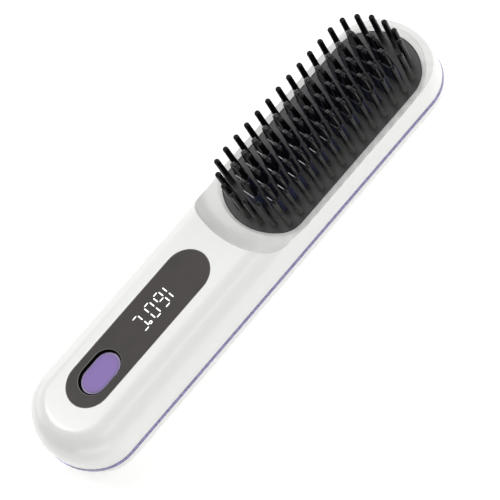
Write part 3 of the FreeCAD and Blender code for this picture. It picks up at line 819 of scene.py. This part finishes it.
def plan_middle(box):
    """Middle of a box seen from above, at height zero."""
    low, high = box
    return Vector(((low.x + high.x) / 2, (low.y + high.y) / 2, 0))


pin_boxes = islands("guard_pins")
print("pins:", len(pin_boxes))

# %% Turned shapes and copies
turn_merge = 0.0005 * mm


def turned(profile, sides):
    """A turned mesh from (radius, height) points, closed where the radius is zero."""
    bm = bmesh.new()
    verts = [bm.verts.new((radius, 0, z)) for radius, z in profile]
    edges = [bm.edges.new(pair) for pair in zip(verts, verts[1:])]
    bmesh.ops.spin(
        bm,
        geom=verts + edges,
        cent=(0, 0, 0),
        axis=(0, 0, 1),
        angle=2 * math.pi,
        steps=sides,
        use_merge=True,
    )
    bmesh.ops.remove_doubles(bm, verts=bm.verts, dist=turn_merge)
    bmesh.ops.recalc_face_normals(bm, faces=bm.faces)
    return to_mesh(bm, "turned_master")


def copies(master, places):
    """One bmesh with a copy of a master mesh at each place."""
    bm = bmesh.new()
    for place in places:
        before = len(bm.verts)
        bm.from_mesh(master)
        bm.verts.ensure_lookup_table()
        bmesh.ops.translate(bm, verts=bm.verts[before:], vec=place)
    return bm


print("a turned seam is closed up to", turn_merge / mm, "mm")

# %% Guard pins
pin_sides = 20
pin_root, pin_tip = 1.14 * mm, 1.05 * mm
tip_steps = 5
pin_crease = math.radians(50)
pin_foot, pin_top = [corner.z for corner in pin_boxes[0]]

tip_centre = pin_top - pin_tip
profile = [(0, pin_foot), (pin_root, pin_foot)]
for i in range(tip_steps + 1):
    angle = math.pi / 2 * i / tip_steps
    profile.append((pin_tip * math.cos(angle), tip_centre + pin_tip * math.sin(angle)))
pin_places = [plan_middle(box) for box in pin_boxes]
pins = to_piece(copies(turned(profile, pin_sides), pin_places), "pin_ring")
finish_piece(smooth(pins, pin_crease), comb.finish, "body", "comb_black", "guard_pins")

# %% [markdown]
# ## Tooth caps
# Each inner tooth ends in a cool cap: a flat finger, wider than it is thick, that narrows to a
# rounded top and has a fine lip at its open end. A subdivided cage would round it too, but would
# blur the lip. So a cube is drawn in at the top, its edges are rounded with the bevel operator, and
# the lip is the lowest ring of points, spread out like a skirt.

# %% Cap finish
cap_shades = (0.003, 0.003, 0.004), (0.006, 0.006, 0.008)
cap_roughness = 0.07, 0.11

cap_black = cloudy_finish("cap_black", comb_grain, soft_detail, cap_shades, cap_roughness)
tune(cap_black.shader, {"Specular IOR Level": 0.4})
print("finish:", cap_black.finish.name)

# %% Block for a tooth
cap_boxes = islands("tooth_caps")
cap_low, cap_high = cap_boxes[0]
cap_size = cap_high - cap_low
cap_middle = cap_low.z + cap_size.z / 2


def drawn_block(size, middle, top_size):
    """A block of a size, at the origin in plan, whose top is drawn in; with its top points."""
    bm = bmesh.new()
    bmesh.ops.create_cube(bm, size=1.0)
    bmesh.ops.scale(bm, verts=bm.verts, vec=size)
    bmesh.ops.translate(bm, verts=bm.verts, vec=(0, 0, middle))
    top = [v for v in bm.verts if v.co.z > middle]
    bmesh.ops.scale(bm, verts=top, vec=(top_size[0] / size[0], top_size[1] / size[1], 1))
    return bm, top


print("caps:", len(cap_boxes), "size of one in mm:", [round(v / mm, 2) for v in cap_size])

# %% Tooth caps
cap_top_width, cap_top_thickness = 4.2 * mm, 1.7 * mm
cap_round, cap_round_steps = 1.85 * mm, 6
cap_edge_round, cap_edge_steps = 0.62 * mm, 4
ridge_least = 0.5 * mm
sharp_angle = 0.6  # radians
lip_height, lip_in, lip_out = 0.065 * mm, 0.1 * mm, 0.15 * mm
cap_merge = 0.001 * mm
tooth_crease = math.radians(40)


def cap_mesh():
    """One cap, centred in plan at the origin, at its real height."""
    base = (cap_size.x - 2 * lip_in, cap_size.y - 2 * lip_in, cap_size.z)
    bm, top = drawn_block(base, cap_middle, (cap_top_thickness, cap_top_width))
    ridges = [e for e in bm.edges if all(v in top for v in e.verts)]
    ridges = [e for e in ridges if abs(e.verts[0].co.x - e.verts[1].co.x) > ridge_least]
    round_edges(bm, ridges, cap_round, cap_round_steps)
    foot_edges = {e for f in bm.faces if f.normal.z < -end_facing for e in f.edges}
    sharp = [e for e in bm.edges if e not in foot_edges and len(e.link_faces) == 2]
    sharp = [e for e in sharp if e.calc_face_angle() > sharp_angle]
    round_edges(bm, sharp, cap_edge_round, cap_edge_steps)
    cut_across(bm, (0, 0, cap_low.z + lip_height), (0, 0, 1))
    rim = [v for v in bm.verts if v.co.z < cap_low.z + lip_height / 2]
    flare = 2 * (lip_in + lip_out)
    bmesh.ops.scale(bm, verts=rim, vec=(1 + flare / base[0], 1 + flare / base[1], 1))
    bmesh.ops.remove_doubles(bm, verts=bm.verts, dist=cap_merge)
    bmesh.ops.recalc_face_normals(bm, faces=bm.faces)
    return to_mesh(bm, "cap_master")


tooth_places = [plan_middle(box) for box in cap_boxes]
caps = to_piece(copies(cap_mesh(), tooth_places), "tooth_tips")
finish_piece(smooth(caps, tooth_crease), cap_black.finish, "body", "comb_black", "tooth_caps")

# %% [markdown]
# ## Heating fins
# Under each cap a coated metal blade comes up through the plate. The coating is a dark navy with a
# satin sheen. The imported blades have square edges, which would show no highlight. So a blade is a
# block, drawn in a little toward the cap, whose upright edges are rounded, and its thin side
# catches a strip of light. Its top ends just inside the cap, where nobody sees it.

# %% Heating fins
fin_grain = 1200.0
fin_shades = (0.028, 0.034, 0.080), (0.040, 0.048, 0.105)
fin_roughness = 0.28, 0.40
fin_round, fin_round_steps = 0.3 * mm, 3
fin_fill = 0.95
fin_reach = 0.3 * mm
fin_low, fin_high = islands("heating_fins")[0]
fin_high = Vector((fin_high.x, fin_high.y, cap_low.z + fin_reach))
fin_size = fin_high - fin_low
fin_middle = (fin_low.z + fin_high.z) / 2

navy = cloudy_finish("fin_navy", fin_grain, fine_detail, fin_shades, fin_roughness)
tune(navy.shader, {"Specular IOR Level": 0.6})


def fin_mesh():
    """One blade, centred in plan at the origin, at its real height."""
    bm, top = drawn_block(fin_size, fin_middle, (fin_fill * cap_size.x, fin_fill * cap_size.y))
    upright = [e for e in bm.edges if sum(v in top for v in e.verts) == 1]
    round_edges(bm, upright, fin_round, fin_round_steps)
    bmesh.ops.recalc_face_normals(bm, faces=bm.faces)
    return to_mesh(bm, "fin_master")


fins = to_piece(copies(fin_mesh(), tooth_places), "heating_blades")
finish_piece(smooth(fins, tooth_crease), navy.finish, "body", "fin_navy", "heating_fins")

# %% [markdown]
# ## Pieces inside
# The board, the cell, the heater stack and the charging inlet are closed in by the shells, or seen
# only through the inlet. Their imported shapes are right, so new pieces would add nothing. They stay,
# and each gets a finish of its own kind.

# %% Finishes of the inner pieces
inner_spread = 0.12
inner_relief, inner_relief_depth = 0.1, 0.02 * mm
inner_finishes = {  # two shades, least roughness, share of metal, scale of the cloud
    "board_green": ((0.010, 0.075, 0.030), (0.016, 0.100, 0.042), 0.35, 0.0, 500.0),
    "part_black": ((0.012, 0.012, 0.013), (0.022, 0.022, 0.023), 0.42, 0.0, 900.0),
    "module_white": ((0.72, 0.72, 0.70), (0.80, 0.80, 0.78), 0.45, 0.0, 700.0),
    "cell_wrap": ((0.020, 0.065, 0.22), (0.028, 0.085, 0.27), 0.30, 0.0, 300.0),
    "foam": ((0.07, 0.07, 0.07), (0.12, 0.12, 0.12), 0.85, 0.0, 2500.0),
    "heater_metal": ((0.55, 0.56, 0.57), (0.68, 0.69, 0.70), 0.34, 1.0, 800.0),
    "steel": ((0.56, 0.56, 0.55), (0.66, 0.66, 0.65), 0.25, 1.0, 900.0),
    "element_ceramic": ((0.70, 0.68, 0.62), (0.80, 0.78, 0.73), 0.55, 0.0, 600.0),
    "mica": ((0.42, 0.34, 0.22), (0.55, 0.46, 0.32), 0.40, 0.0, 400.0),
    "lead_red": ((0.38, 0.02, 0.02), (0.48, 0.03, 0.03), 0.38, 0.0, 900.0),
}


def inner_finish(name):
    """One finish of the table above."""
    low, high, rough, metal, scale = inner_finishes[name]
    made = cloudy_finish(name, scale, fine_detail, (low, high), (rough, rough + inner_spread))
    tune(made.shader, {"Metallic": metal})
    relief(made, inner_relief, inner_relief_depth)
    return made.finish


print("inner finishes:", len(inner_finishes))

# %% Inner pieces
wearers = {
    "board_green": ["main_board", "charge_board"],
    "part_black": ["switch_body", "switch_plunger", "display_mask", "usb_tongue", "thermal_fuse"],
    "module_white": ["display_module", "heater_connector"],
    "cell_wrap": ["battery_pack"],
    "foam": ["battery_pad"],
    "heater_metal": ["heater_plate", "heater_clamp", "usb_socket"],
    "steel": ["board_screws", "charge_screws", "heater_screws", "temperature_sensor"],
    "element_ceramic": ["heating_elements"],
    "mica": ["insulation_sheet"],
    "lead_red": ["heater_leads", "battery_leads"],
}

for name, wearing in wearers.items():
    finish = inner_finish(name)
    for node in wearing:
        nodes[node].data.materials.clear()
        nodes[node].data.materials.append(finish)
print("inner pieces finished:", sum(len(w) for w in wearers.values()))
